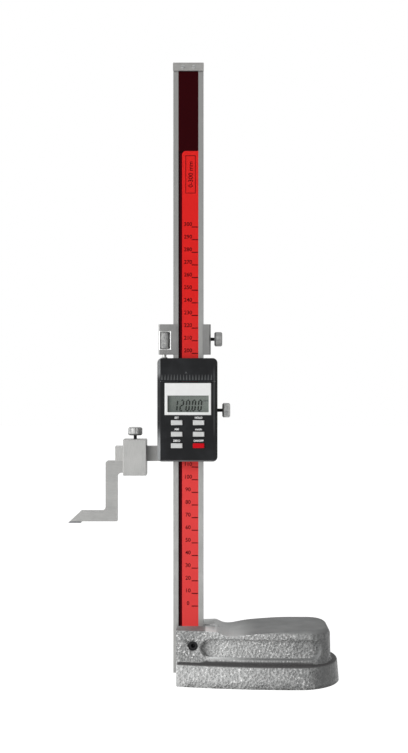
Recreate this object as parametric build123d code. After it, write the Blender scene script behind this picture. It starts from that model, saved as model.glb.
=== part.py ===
from build123d import *
import math
import os

# Digital height gauge, 300 mm: a cast base, an upright beam with a scale, and a sliding
# digital head that carries a scriber.  Millimetres.  The origin is on the surface that
# the gauge stands on, on the centre line of the beam: +X runs along the base, away from
# the scriber, -Y is the face with the display, and +Z is up.

os.makedirs("parts", exist_ok=True)


# ---------------------------------------------------------------- driving dimensions

# beam and scale
BEAM_WIDTH = 24.0
BEAM_THICKNESS = 7.0
BEAM_BOTTOM = 4.5
BEAM_TOP = 487.0
GROOVE_WIDTH = 15.8          # shallow groove in the front face that holds the scale
GRID_THICKNESS = 0.6         # measuring grid, bonded to the floor of the groove
LABEL_THICKNESS = 0.2        # printed scale on top of the grid
STOP_HEIGHT = 6.4            # end stop across the top of the beam
STOP_THICKNESS = 1.6
STOP_SCREW_SPACING = 8.7

# base casting
BASE_LEFT = -9.3             # flat left end: the beam stands a little proud of it
BASE_RIGHT = 119.2
BASE_HALF_LEFT = 24.6        # half width of the foot at the left end
BASE_HALF_RIGHT = 33.6       # and at its round end
END_CENTRE = BASE_RIGHT - BASE_HALF_RIGHT
RUN_OUT = 6.0                # how far shapes run on before the left end is cut square
FOOT_HEIGHT = 17.4
FOOT_DRAFT = 4.9             # degrees
FOOT_EDGE_RADIUS = 2.6
FOOT_CORNER = 2.4            # radius of the upright corners at the left end
LEDGE = 8.0                  # step from the foot in to the upper body
BODY_DRAFT = 0.4             # how much wider the body is at its foot, each side
BOSS_TOP = 41.5
BOSS_RIGHT = 20.5            # where the flat top of the boss ends
SADDLE = ((22.4, 41.25), (25.4, 39.75), (29.8, 38.3), (42.0, 39.4), (58.0, 41.1), (74.0, 42.3))
BACK_TOP = 42.9              # highest part of the top, over the palm
SADDLE_RIGHT = 92.0
SHOULDER_LEFT = 1.2          # radius of the top edge, small at the beam
SHOULDER_RIGHT = 4.8         # and large under the palm
END_CORNER = 15.0             # radius of the two corners of its far end, seen from above
GRIP_LEFT = 10.3             # finger recess along each side
GRIP_RIGHT = 102.0
GRIP_LOW = 21.0
GRIP_HIGH = 35.2
GRIP_DEPTH = 4.6
GRIP_EDGE = 1.2
RELIEF_DEPTH = 2.5           # hollow of the underside, inside a ground rim
RELIEF_RIM = 12.0
RELIEF_LEFT = 22.0
SLIT_WIDTH = 1.0
SLIT_RIGHT = 24.0
PINCH_X = 3.8                # pinch screw through the boss and the beam
PINCH_Z = 29.6
PINCH_HEAD = 7.0
PINCH_HOLE = 7.8
PINCH_SHANK = 4.0
PINCH_SEAT = -13.2           # floor of the counterbore
PINCH_TIP = 12.0

# sliding head, at its place on the beam
EDGE_HEIGHT = 123.2          # height of the scribing edge
HEAD_BOTTOM = 172.7
HEAD_TOP = 253.3
SLIDE_GAP = 0.05             # running clearance on each face of the beam
SLIDE_FRONT = -4.6           # front face of the steel slider
SLIDE_BACK = 8.0
SLIDE_LEFT = -21.8
SLIDE_RIGHT = 20.8
SLIDE_BOTTOM = 172.1
SLIDE_TOP = 252.6
LIP_REACH = 2.8              # how far the front lips cover the beam
GIB_THICKNESS = 1.5
ARM_LEFT = -58.1
ARM_HEIGHT = 11.8
ARM_HALF_DEPTH = 4.0

# plastic housing of the head
CASE_LEFT = -24.1
CASE_RIGHT = 22.9
CASE_FRONT = -17.5
CASE_WALL = 1.8
CASE_BEVEL = 2.6
CASE_BEVEL_DEPTH = 3.0
CASE_CORNER = 3.8             # radius
CASE_BOTTOM_BEVEL = 1.6
COVER_CLEARANCE = 1.5         # the cover passes in front of the fine adjustment
COVER_BOTTOM = 235.2
PART_GAP = 0.1               # line between the cover and the housing
BEZEL = (-18.2, 209.0, 17.9, 233.9)       # left, bottom, right, top
LCD = (-16.1, 211.2, 16.0, 224.2)
BUTTON_COLUMNS = (-8.9, 8.15)
BUTTON_ROWS = (203.1, 194.15, 185.2)
BUTTON_WIDTH = 8.8
BUTTON_HEIGHT = 3.7
BUTTON_PROUD = 0.8
BUTTON_GAP = 0.15
BUTTON_TRAVEL = 0.6
BOARD_FRONT = -11.6
BOARD_THICKNESS = 1.2
CELL_DIAMETER = 11.6
CELL_THICKNESS = 5.4

# thumb screws
KNOB_DIAMETER = 11.4
KNOB_LENGTH = 6.2
KNOB_EDGE = 0.9
KNOB_GROOVES = 8
KNOB_GROOVE = 0.8             # side of the square cutter that makes each V groove
SHANK_DIAMETER = 2.6
SCREW_FIT = 0.05             # radial clearance in a tapped hole
HEAD_LOCK_Z = 212.2
HEAD_KNOB_X = 26.9

# fine adjustment
FINE_LEFT = -23.7
FINE_RIGHT = 17.7
FINE_BOTTOM = 256.4
FINE_TOP = 280.3
FINE_MOUTH_RIGHT = 11.2
FINE_LOCK_Z = 268.6
FINE_KNOB_X = 20.6
WINDOW_BACK = 3.4
WINDOW_RIM = 0.7
WINDOW = (-22.4, 260.9, -14.6, 274.0)     # left, bottom, right, top
ROD_X = -19.0
ROD_Y = -2.0                 # the nut stands a little out of its window
ROD_DIAMETER = 3.0
NUT_DIAMETER = 6.8
NUT_END_GAP = 0.15

# scriber and its clamp
CLAMP_LEFT = -51.6
CLAMP_RIGHT = -33.0
CLAMP_BOTTOM = 160.8
CLAMP_TOP = 189.4
CLAMP_HALF_DEPTH = 7.0
SCREW_ROOM = 0.8             # space above the arm for the tip of the clamp screw
CLAMP_KNOB_Z = 192.4
SCRIBER_LEFT = -65.5
SCRIBER_LEG = 9.1
SCRIBER_SHANK = 9.2
SCRIBER_END = -33.0
SCRIBER_FOOT = 7.95
SCRIBER_HALF_DEPTH = 3.9
SCRIBER_TIP = -95.1
SCRIBER_BEND = 3.8            # radius of the inner bends
TOE_SLOPE = 1.07              # run of the toe for each unit of rise
CARBIDE_THICKNESS = 1.2
CARBIDE_LENGTH = 10.2


# ---------------------------------------------------------------- helpers

def block(x0, x1, y0, y1, z0, z1):
    """A box between two corners."""
    centre = Pos((x0 + x1) / 2, (y0 + y1) / 2, (z0 + z1) / 2)
    return centre * Box(x1 - x0, y1 - y0, z1 - z0)


def pin_x(x0, x1, y, z, diameter):
    """A cylinder along X."""
    turn = Rotation(0, 90, 0)
    return Pos((x0 + x1) / 2, y, z) * turn * Cylinder(diameter / 2, x1 - x0)


def pin_y(y0, y1, x, z, diameter):
    """A cylinder along Y."""
    turn = Rotation(90, 0, 0)
    return Pos(x, (y0 + y1) / 2, z) * turn * Cylinder(diameter / 2, y1 - y0)


def pin_z(z0, z1, x, y, diameter):
    """A cylinder along Z."""
    return Pos(x, y, (z0 + z1) / 2) * Cylinder(diameter / 2, z1 - z0)


def side_plate(points, half_depth):
    """A plate with an outline of (x, z) points, centred on Y = 0."""
    outline = Plane.XZ * make_face(Polyline(*points, close=True))
    return extrude(outline, half_depth, both=True)


def fluted(outer, inner, low, high, count):
    """A prism along Z with straight V flutes round it, as a coarse straight knurl."""
    points = []
    for index in range(count * 2):
        angle = math.pi * index / count
        radius = inner if index % 2 else outer
        points.append((radius * math.cos(angle), radius * math.sin(angle)))
    outline = make_face(Polyline(*points, close=True))
    return Pos(0, 0, low) * extrude(outline, high - low)


def thumb_screw(shank_length):
    """A thumb screw along +Z: shank below Z = 0, and a grooved knob above it."""
    radius = KNOB_DIAMETER / 2
    knob = pin_z(0, KNOB_LENGTH, 0, 0, KNOB_DIAMETER)
    knob = chamfer(knob.edges().filter_by(GeomType.CIRCLE), KNOB_EDGE)
    groove = Pos(radius, 0, KNOB_LENGTH / 2) * Rotation(0, 0, 45) * Box(
        KNOB_GROOVE, KNOB_GROOVE, KNOB_LENGTH + 1)
    for index in range(KNOB_GROOVES):
        knob -= Rotation(0, 0, (index + 0.25) * 360 / KNOB_GROOVES) * groove
    return knob + pin_z(-shank_length, 0.5, 0, 0, SHANK_DIAMETER)


def save(name, shape):
    export_step(shape, f"parts/{name}.step")


# ---------------------------------------------------------------- base

def side_radius():
    """Radius of the long curved sides of the base, seen from above."""
    reach = END_CENTRE - BASE_LEFT
    rise = BASE_HALF_RIGHT - BASE_HALF_LEFT
    return (reach ** 2 + rise ** 2) / (2 * rise)


def half_width(x, inset):
    """Half width of the base at x, left of the round end."""
    radius = side_radius()
    fall = radius - math.sqrt(radius ** 2 - (END_CENTRE - x) ** 2)
    return BASE_HALF_RIGHT - fall - inset


def base_outline(inset):
    """Plan of the base, moved in by inset: two long arcs and a round end.

    It runs on past the left end, where the casting is cut off square.
    """
    left = BASE_LEFT - RUN_OUT
    narrow = half_width(left, inset)
    wide = BASE_HALF_RIGHT - inset
    lines = Line((left, narrow), (left, -narrow))
    lines += RadiusArc((left, -narrow), (END_CENTRE, -wide), -side_radius())
    lines += ThreePointArc((END_CENTRE, -wide), (END_CENTRE + wide, 0), (END_CENTRE, wide))
    lines += RadiusArc((END_CENTRE, wide), (left, narrow), -side_radius())
    return make_face(lines)


def body_section(x, shoulder):
    """Cross-section of the upper body at x, with round shoulders."""
    half_top = half_width(x, LEDGE)
    half_foot = half_top + BODY_DRAFT
    low = FOOT_HEIGHT - 1.0
    flat = half_top - shoulder
    drop = BACK_TOP - shoulder
    lines = Polyline((flat, BACK_TOP), (-flat, BACK_TOP))
    lines += RadiusArc((-flat, BACK_TOP), (-half_top, drop), -shoulder)
    lines += Polyline((-half_top, drop), (-half_foot, low), (half_foot, low), (half_top, drop))
    lines += RadiusArc((half_top, drop), (flat, BACK_TOP), -shoulder)
    return Plane((x, 0, 0), x_dir=(0, 1, 0), z_dir=(1, 0, 0)) * make_face(lines)


def saddle_cutter():
    """What is above the flat boss and the saddle behind it."""
    above = BACK_TOP + 10.0
    far_left = BASE_LEFT - RUN_OUT - 5.0
    lines = Polyline((SADDLE_RIGHT, BACK_TOP), (SADDLE_RIGHT, above), (far_left, above),
                     (far_left, BOSS_TOP), (BOSS_RIGHT, BOSS_TOP))
    lines += Spline((BOSS_RIGHT, BOSS_TOP), *SADDLE, (SADDLE_RIGHT, BACK_TOP))
    return extrude(Plane.XZ * make_face(lines), BASE_HALF_RIGHT, both=True)


def build_body_end():
    """The far end: the section runs straight on, round two corners and across between them."""
    half = half_width(END_CENTRE, LEDGE)
    inner = half - END_CORNER
    turn_x = END_CENTRE + half - END_CORNER
    end = extrude(body_section(END_CENTRE, SHOULDER_RIGHT), turn_x - END_CENTRE)
    section = body_section(turn_x, SHOULDER_RIGHT)
    near = section & block(turn_x - 1, turn_x + 1, -60, -inner, 0, 60)
    far = section & block(turn_x - 1, turn_x + 1, inner, 60, 0, 60)
    near_axis = Axis((turn_x, -inner, 0), (0, 0, 1))
    end += revolve(near, near_axis, 90)
    end += revolve(far, Axis((turn_x, inner, 0), (0, 0, -1)), 90)
    return end + extrude(near.rotate(near_axis, 90), 2 * inner, dir=(0, 1, 0))


def build_upper_body():
    """The upper body: a loft that widens to the back, and its rounded far end."""
    left = BASE_LEFT - RUN_OUT
    middle = (left + END_CENTRE) / 2
    sections = [body_section(left, SHOULDER_LEFT),
                body_section(middle, (SHOULDER_LEFT + SHOULDER_RIGHT) / 2),
                body_section(END_CENTRE, SHOULDER_RIGHT)]
    body = loft(sections)
    body += build_body_end()
    return body - saddle_cutter()


def finger_grips():
    """The long recess along both sides of the upper body."""
    centre = Pos((GRIP_LEFT + GRIP_RIGHT) / 2, (GRIP_LOW + GRIP_HIGH) / 2)
    outline = SlotOverall(GRIP_RIGHT - GRIP_LEFT, GRIP_HIGH - GRIP_LOW)
    through = extrude(Plane.XZ * (centre * outline), BASE_HALF_RIGHT, both=True)
    core = extrude(base_outline(LEDGE + GRIP_DEPTH), BACK_TOP)
    half_core = BASE_HALF_RIGHT - LEDGE - GRIP_DEPTH
    core += block(END_CENTRE, GRIP_RIGHT + 1, -half_core, half_core, 0, BACK_TOP)
    return through - core


def build_gripped_body():
    """The upper body with the finger recesses cut in it and their rims broken."""
    body = build_upper_body()
    gripped = body - finger_grips()
    skin = body.faces()
    rim = []
    for edge in gripped.edges():
        middle = edge.position_at(0.5)
        beside = GRIP_LEFT - 1 < middle.X < GRIP_RIGHT + 1
        level = GRIP_LOW - 1 < middle.Z < GRIP_HIGH + 1
        if beside and level and min(face.distance_to(middle) for face in skin) < 0.05:
            rim.append(edge)
    return chamfer(rim, GRIP_EDGE)


def build_base():
    foot = extrude(base_outline(0), FOOT_HEIGHT, taper=FOOT_DRAFT)
    foot -= block(BASE_LEFT - 40, BASE_LEFT, -50, 50, -1, 60)
    end_corners = [edge for edge in foot.faces().sort_by(Axis.X)[0].edges()
                   if abs(edge.center().Z - FOOT_HEIGHT / 2) < 1]
    foot = fillet(end_corners, FOOT_CORNER)
    rim = foot.faces().sort_by(Axis.Z)[-1].edges()
    foot = fillet(rim, FOOT_EDGE_RADIUS)
    casting = foot + build_gripped_body()
    casting -= block(BASE_LEFT - 40, BASE_LEFT, -50, 50, -1, 60)

    relief = extrude(base_outline(RELIEF_RIM), RELIEF_DEPTH)
    casting -= relief & block(RELIEF_LEFT, BASE_RIGHT, -50, 50, -1, RELIEF_DEPTH)

    half_slot = BEAM_WIDTH / 2
    casting -= block(BASE_LEFT - 10, half_slot, -BEAM_THICKNESS / 2, BEAM_THICKNESS / 2,
                     BEAM_BOTTOM, 60)
    casting -= block(half_slot - 1, SLIT_RIGHT, -SLIT_WIDTH / 2, SLIT_WIDTH / 2, BEAM_BOTTOM, 60)
    casting -= pin_y(-40, PINCH_SEAT, PINCH_X, PINCH_Z, PINCH_HOLE)
    casting -= pin_y(-40, PINCH_TIP, PINCH_X, PINCH_Z, PINCH_SHANK)
    return casting


def socket_screw(head, head_length, shank, shank_length, hexagon):
    """A socket head cap screw along +Z, with the seat of its head at Z = 0."""
    screw = pin_z(0, head_length, 0, 0, head) + pin_z(-shank_length, 0.5, 0, 0, shank)
    socket = extrude(RegularPolygon(hexagon / 2, 6, major_radius=False), head_length)
    return screw - Pos(0, 0, head_length * 0.45) * socket


def build_base_clamp_screw():
    screw = socket_screw(PINCH_HEAD, PINCH_SHANK, PINCH_SHANK, PINCH_TIP - PINCH_SEAT, 3.2)
    return Pos(PINCH_X, PINCH_SEAT, PINCH_Z) * Rotation(90, 0, 0) * screw


# ---------------------------------------------------------------- beam

def build_beam():
    front = -BEAM_THICKNESS / 2
    half = BEAM_WIDTH / 2
    beam = block(-half, half, front, -front, BEAM_BOTTOM, BEAM_TOP)
    long_edges = beam.edges().filter_by(Axis.Z)
    beam = chamfer(long_edges, 0.3)
    groove_depth = GRID_THICKNESS + LABEL_THICKNESS
    groove_half = GROOVE_WIDTH / 2
    beam -= block(-groove_half, groove_half, front - 1, front + groove_depth,
                  BOSS_TOP, BEAM_TOP - STOP_HEIGHT)
    beam -= pin_y(-10, 10, PINCH_X, PINCH_Z, PINCH_SHANK + 0.4)
    for x in (-STOP_SCREW_SPACING / 2, STOP_SCREW_SPACING / 2):
        beam -= pin_y(front - 1, front + 4.5, x, BEAM_TOP - STOP_HEIGHT / 2, 1.6)
    return beam


def scale_strip(front_offset, thickness):
    """A strip in the groove of the beam, from the boss up to the end stop."""
    front = -BEAM_THICKNESS / 2 + front_offset
    half = GROOVE_WIDTH / 2
    return block(-half, half, front, front + thickness, BOSS_TOP, BEAM_TOP - STOP_HEIGHT)


def build_stop_plate():
    back = -BEAM_THICKNESS / 2
    half = BEAM_WIDTH / 2 + 0.2
    plate = block(-half, half, back - STOP_THICKNESS, back, BEAM_TOP - STOP_HEIGHT, BEAM_TOP)
    plate = chamfer(plate.edges().filter_by(Axis.Y), 0.4)
    for screw in stop_screw_places():
        plate -= screw * pin_z(-3, 1, 0, 0, 1.6)
        plate -= screw * Pos(0, 0, -0.6) * Cone(0.8, 1.6, 1.2)
    return plate


def stop_screw_places():
    face = -BEAM_THICKNESS / 2 - STOP_THICKNESS
    z = BEAM_TOP - STOP_HEIGHT / 2
    return [Pos(x, face, z) * Rotation(90, 0, 0)
            for x in (-STOP_SCREW_SPACING / 2, STOP_SCREW_SPACING / 2)]


def build_stop_screws():
    screw = pin_z(-5.5, -0.6, 0, 0, 1.6) + Pos(0, 0, -0.6) * Cone(0.8, 1.6, 1.2)
    screw -= block(-2, 2, -0.22, 0.22, -0.35, 1)
    return [place * screw for place in stop_screw_places()]


# ---------------------------------------------------------------- steel slider of the head

def channel(left, right, bottom, top, mouth_right):
    """A slider that wraps the beam: rails at both edges, a web behind, lips in front."""
    half = BEAM_WIDTH / 2 + SLIDE_GAP
    half_depth = BEAM_THICKNESS / 2 + SLIDE_GAP
    mouth_left = BEAM_WIDTH / 2 - LIP_REACH
    body = block(left, right, SLIDE_FRONT, SLIDE_BACK, bottom, top)
    body -= block(-half, half + GIB_THICKNESS + SLIDE_GAP, -half_depth, half_depth,
                  bottom - 1, top + 1)
    body -= block(-mouth_left, mouth_right, SLIDE_FRONT - 1, 0, bottom - 1, top + 1)
    return body


def gib(bottom, top):
    """The strip between the right edge of the beam and the slider."""
    left = BEAM_WIDTH / 2 + SLIDE_GAP
    half_depth = BEAM_THICKNESS / 2 - 0.05
    return block(left, left + GIB_THICKNESS, -half_depth, half_depth, bottom, top)


GIB_BACK = BEAM_WIDTH / 2 + SLIDE_GAP + GIB_THICKNESS
RAIL_FACE = GIB_BACK + SLIDE_GAP
GIB_SCREW_ROWS = (190.0, 236.0)
CASE_SCREWS = ((-17.0, 180.0), (-17.0, 240.4), (16.8, 180.0), (16.8, 240.4))


def build_slider_frame():
    frame = channel(SLIDE_LEFT, SLIDE_RIGHT, SLIDE_BOTTOM, SLIDE_TOP, BEAM_WIDTH / 2 - LIP_REACH)
    back_corners = frame.edges().filter_by(Axis.Z).group_by(Axis.Y)[-1]
    frame = chamfer(back_corners, 1.0)
    arm = block(ARM_LEFT, SLIDE_LEFT + 1, -ARM_HALF_DEPTH, ARM_HALF_DEPTH,
                SLIDE_BOTTOM, SLIDE_BOTTOM + ARM_HEIGHT)
    arm = chamfer(arm.edges().group_by(Axis.X)[0], 0.4)
    frame += arm
    frame -= pin_x(RAIL_FACE - 1, SLIDE_RIGHT + 1, 0, HEAD_LOCK_Z, SHANK_DIAMETER + 2 * SCREW_FIT)
    for z in GIB_SCREW_ROWS:
        frame -= pin_x(RAIL_FACE - 1, SLIDE_RIGHT + 1, 0, z, 2.5)
    for x, z in CASE_SCREWS:
        frame -= pin_y(SLIDE_FRONT - 1, SLIDE_BACK + 1, x, z, 2.0)
        frame -= Pos(x, SLIDE_BACK - 0.5, z) * Rotation(-90, 0, 0) * Cone(1.0, 2.0, 1.0)
    frame -= pin_z(SLIDE_TOP - 7, SLIDE_TOP + 1, ROD_X, ROD_Y, ROD_DIAMETER)
    return frame


def build_gib_screws():
    """Slotted set screws that press the gib against the beam."""
    screws = []
    for z in GIB_SCREW_ROWS:
        screw = pin_x(GIB_BACK, SLIDE_RIGHT - 0.6, 0, z, 2.5)
        slot = block(SLIDE_RIGHT - 1.2, SLIDE_RIGHT, -2, 2, z - 0.25, z + 0.25)
        screws.append(screw - slot)
    return screws


def build_case_screws():
    """Screws through the slider from behind, into the housing."""
    length = SLIDE_BACK - CASE_SCREW_TIP
    screw = pin_z(-length, -0.5, 0, 0, 2.0) + Pos(0, 0, -0.5) * Cone(1.0, 2.0, 1.0)
    screw -= block(-2.2, 2.2, -0.25, 0.25, -0.45, 1)
    screw -= block(-0.25, 0.25, -2.2, 2.2, -0.45, 1)
    return [Pos(x, SLIDE_BACK, z) * Rotation(-90, 0, 0) * screw for x, z in CASE_SCREWS]


def build_fine_rod():
    """The threaded rod of the fine adjustment, with a collar on top of the slider."""
    rod = pin_z(SLIDE_TOP - 7, FINE_TOP - 3.9, ROD_X, ROD_Y, ROD_DIAMETER)
    return rod + pin_z(SLIDE_TOP, SLIDE_TOP + 1.6, ROD_X, ROD_Y, ROD_DIAMETER + 1.6)


# ---------------------------------------------------------------- plastic housing

CASE_BACK = SLIDE_FRONT
INNER_FRONT = CASE_FRONT + CASE_WALL
CASE_MIDDLE = (CASE_LEFT + CASE_RIGHT) / 2
BAY_FLOOR = COVER_BOTTOM + 1.4
CASE_SCREW_TIP = -12.0
BAY_BACK_WALL = 1.2
CELL_FRONT = INNER_FRONT + 1.7
CELL_Z = BAY_FLOOR + CELL_DIAMETER / 2
COVER_SHELF = HEAD_TOP - CASE_WALL


def case_solid(bottom, top):
    """The outside of the housing: bevelled front edges and cut corners."""
    side = CASE_FRONT + CASE_BEVEL_DEPTH
    plan = Polyline((CASE_LEFT, CASE_BACK), (CASE_LEFT, side),
                    (CASE_LEFT + CASE_BEVEL, CASE_FRONT), (CASE_RIGHT - CASE_BEVEL, CASE_FRONT),
                    (CASE_RIGHT, side), (CASE_RIGHT, CASE_BACK), close=True)
    body = Pos(0, 0, HEAD_BOTTOM) * extrude(make_face(plan), HEAD_TOP - HEAD_BOTTOM)
    width = CASE_RIGHT - CASE_LEFT
    middle = Pos(CASE_MIDDLE, (HEAD_BOTTOM + HEAD_TOP) / 2)
    outline = RectangleRounded(width, HEAD_TOP - HEAD_BOTTOM, CASE_CORNER)
    body &= extrude(Plane.XZ * (middle * outline), -CASE_FRONT + 1)
    low = HEAD_BOTTOM - 1
    reach = CASE_BOTTOM_BEVEL + 1
    wedge = make_face(Polyline((CASE_FRONT - 1, low), (CASE_FRONT + reach, low),
                               (CASE_FRONT - 1, low + reach + 1), close=True))
    body -= extrude(Plane.YZ * wedge, 60, both=True)
    return body & block(-60, 60, -60, 60, bottom, top)


def button_places():
    return [(x, z) for z in BUTTON_ROWS for x in BUTTON_COLUMNS]


def build_head_housing():
    wall = CASE_WALL
    case = case_solid(HEAD_BOTTOM, COVER_SHELF - PART_GAP)
    inside_left = CASE_LEFT + wall
    inside_right = CASE_RIGHT - wall
    case -= block(inside_left, inside_right, INNER_FRONT, CASE_BACK + 1,
                  HEAD_BOTTOM + wall, COVER_BOTTOM)
    case -= block(inside_left, inside_right, CASE_FRONT - 1, CASE_BACK - BAY_BACK_WALL,
                  BAY_FLOOR, HEAD_TOP)
    case -= block(CASE_LEFT - 1, CASE_RIGHT + 1, CASE_FRONT - 1, INNER_FRONT + PART_GAP,
                  COVER_BOTTOM - PART_GAP, HEAD_TOP)
    for x, z in CASE_SCREWS:
        post_front = INNER_FRONT if z < COVER_BOTTOM else CASE_SCREW_TIP - 1
        case += pin_y(post_front, CASE_BACK, x, z, 4.6)
        case -= pin_y(CASE_SCREW_TIP, CASE_BACK + 1, x, z, 2.0)
    left, bottom, right, top = BEZEL
    case -= block(left, right, CASE_FRONT - 1, INNER_FRONT + 1, bottom, top)
    half_width_hole = BUTTON_WIDTH / 2 + BUTTON_GAP
    half_height_hole = BUTTON_HEIGHT / 2 + BUTTON_GAP
    for x, z in button_places():
        case -= block(x - half_width_hole, x + half_width_hole, CASE_FRONT - 1, INNER_FRONT + 1,
                      z - half_height_hole, z + half_height_hole)
    return case


def build_battery_cover():
    """A cap that slides up: front panel, top wall and two runners inside the bay."""
    cover = case_solid(COVER_BOTTOM, HEAD_TOP)
    cover -= block(CASE_LEFT - 1, CASE_RIGHT + 1, INNER_FRONT, CASE_BACK + 1,
                   COVER_BOTTOM - 1, COVER_SHELF)
    cover -= block(CASE_LEFT - 1, CASE_RIGHT + 1, CASE_BACK - COVER_CLEARANCE, CASE_BACK + 1,
                   COVER_BOTTOM - 1, HEAD_TOP + 1)
    for x in (CASE_LEFT + CASE_WALL + 0.9, CASE_RIGHT - CASE_WALL - 0.9):
        cover += block(x - 0.6, x + 0.6, INNER_FRONT - 0.2, INNER_FRONT + 1.6,
                       BAY_FLOOR + 6.4, COVER_SHELF + 0.2)
    return cover


def build_bezel():
    left, bottom, right, top = BEZEL
    bezel = block(left, right, CASE_FRONT - 0.3, INNER_FRONT, bottom, top)
    bezel += block(left - 0.7, right + 0.7, INNER_FRONT, INNER_FRONT + 0.8,
                   bottom - 0.7, top + 0.7)
    bezel = chamfer(bezel.faces().sort_by(Axis.Y)[0].edges(), 0.3)
    left, bottom, right, top = LCD
    return bezel - block(left, right, CASE_FRONT - 2, INNER_FRONT + 2, bottom, top)


def lcd_slab(front, back, grow):
    left, bottom, right, top = LCD
    return block(left - grow, right + grow, front, back, bottom - grow, top + grow)


def build_lcd_panel():
    """The glass cell of the display: it fills the window and rests behind the bezel."""
    bezel_back = INNER_FRONT + 0.8
    return (lcd_slab(CASE_FRONT + 0.9, bezel_back, 0)
            + lcd_slab(bezel_back, bezel_back + 1.6, 1.6))


def build_lcd_contact_strips():
    """Elastic strips that join the display to the board, above and below."""
    left, bottom, right, top = LCD
    front = INNER_FRONT + 2.4
    return [block(left, right, front, BOARD_FRONT, z - 0.9, z + 0.9)
            for z in (bottom - 0.4, top + 0.4)]


def build_main_board():
    board = block(CASE_LEFT + 2.4, CASE_RIGHT - 2.4, BOARD_FRONT, BOARD_FRONT + BOARD_THICKNESS,
                  HEAD_BOTTOM + 2.4, COVER_BOTTOM - 0.4)
    for x, z in CASE_SCREWS:
        board -= pin_y(-20, 0, x, z, 5.0)
    return board


def build_keypad_mat():
    """The rubber mat between the buttons and the board, with a raised pad under each."""
    front = BOARD_FRONT - 0.8
    columns = BUTTON_COLUMNS
    rows = BUTTON_ROWS
    mat = block(columns[0] - 6, columns[-1] + 6, front, BOARD_FRONT, rows[-1] - 3.4, rows[0] + 3.4)
    for x, z in button_places():
        mat += block(x - 2, x + 2, front - 0.5, front + 0.1, z - 1.2, z + 1.2)
    return mat


def build_button(x, z):
    """A key: cap, flange behind the front wall, and a stem over its rubber pad."""
    half_wide = BUTTON_WIDTH / 2
    half_high = BUTTON_HEIGHT / 2
    flange_front = INNER_FRONT + 0.1
    cap = block(x - half_wide, x + half_wide, CASE_FRONT - BUTTON_PROUD, flange_front + 0.5,
                z - half_high, z + half_high)
    cap = fillet(cap.faces().sort_by(Axis.Y)[0].edges(), 0.35)
    flange = block(x - half_wide - 0.7, x + half_wide + 0.7, flange_front, flange_front + 0.8,
                   z - half_high - 0.6, z + half_high + 0.6)
    pad_front = BOARD_FRONT - 1.3
    stem = block(x - 1.6, x + 1.6, flange_front + 0.5, pad_front - BUTTON_TRAVEL - 0.1,
                 z - 1.0, z + 1.0)
    return cap + flange + stem


def build_sensor_board():
    """The reading board, laid across the front lips of the slider, facing the scale."""
    half = BEAM_WIDTH / 2 + 1.0
    return block(-half, half, SLIDE_FRONT - 0.8, SLIDE_FRONT, HEAD_BOTTOM + 4, COVER_BOTTOM - 3)


def build_board_connector():
    back = SLIDE_FRONT - 0.8
    return block(-8, 8, BOARD_FRONT + BOARD_THICKNESS, back, 195.0, 198.0)


def build_button_cell():
    cell = pin_y(CELL_FRONT, CELL_FRONT + CELL_THICKNESS, 0, CELL_Z, CELL_DIAMETER)
    return chamfer(cell.edges(), 0.4)


def build_cell_contact():
    """A bent spring strip behind the cell, standing on the floor of the bay."""
    front = CELL_FRONT + CELL_THICKNESS
    strip = block(-3, 3, front, front + 0.3, BAY_FLOOR, CELL_Z + 4)
    return strip + block(-3, 3, front, CASE_BACK - BAY_BACK_WALL, BAY_FLOOR, BAY_FLOOR + 0.3)


# ---------------------------------------------------------------- thumb screws

def build_head_lock_screw():
    screw = thumb_screw(HEAD_KNOB_X - RAIL_FACE)
    return Pos(HEAD_KNOB_X, 0, HEAD_LOCK_Z) * Rotation(0, 90, 0) * screw


def build_fine_lock_screw():
    screw = thumb_screw(FINE_KNOB_X - RAIL_FACE)
    return Pos(FINE_KNOB_X, 0, FINE_LOCK_Z) * Rotation(0, 90, 0) * screw


def build_scriber_clamp_screw():
    clamp_x = (CLAMP_LEFT + CLAMP_RIGHT) / 2
    arm_top = SLIDE_BOTTOM + ARM_HEIGHT
    return Pos(clamp_x, 0, CLAMP_KNOB_Z) * thumb_screw(CLAMP_KNOB_Z - arm_top - SLIDE_GAP)


# ---------------------------------------------------------------- fine adjustment

def build_fine_clamp():
    clamp = channel(FINE_LEFT, FINE_RIGHT, FINE_BOTTOM, FINE_TOP, FINE_MOUTH_RIGHT)
    outer_edges = clamp.edges().filter_by(Axis.Z)
    outer_edges = [edge for edge in outer_edges
                   if abs(edge.center().X - FINE_LEFT) < 0.1
                   or abs(edge.center().X - FINE_RIGHT) < 0.1]
    clamp = chamfer(outer_edges, 1.2)
    left, bottom, right, top = WINDOW
    clamp -= block(left, right, SLIDE_FRONT - 1, WINDOW_BACK, bottom, top)
    window_rim = [edge for edge in clamp.faces().sort_by(Axis.Y)[0].edges()
                  if left + 0.1 < edge.center().X < right + 0.1
                  and edge.center().Z > bottom - 0.1 and edge.center().Z < top + 0.1]
    clamp = chamfer(window_rim, WINDOW_RIM)
    clamp -= pin_z(FINE_BOTTOM - 1, FINE_TOP - 1.3, ROD_X, ROD_Y, ROD_DIAMETER + 0.4)
    clamp -= pin_x(RAIL_FACE - 1, FINE_RIGHT + 1, 0, FINE_LOCK_Z, SHANK_DIAMETER + 2 * SCREW_FIT)
    return clamp


def build_fine_nut():
    left, bottom, right, top = WINDOW
    length = top - bottom - 2 * NUT_END_GAP
    nut = fluted(NUT_DIAMETER / 2, NUT_DIAMETER / 2 - 0.3, 0, length, 24)
    nut -= pin_z(-1, length + 1, 0, 0, ROD_DIAMETER + 2 * SCREW_FIT)
    return Pos(ROD_X, ROD_Y, bottom + NUT_END_GAP) * nut


# ---------------------------------------------------------------- scriber and clamp

ARM_TOP = SLIDE_BOTTOM + ARM_HEIGHT
SHANK_TOP = SLIDE_BOTTOM - SLIDE_GAP
SHANK_BOTTOM = SHANK_TOP - SCRIBER_SHANK


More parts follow.
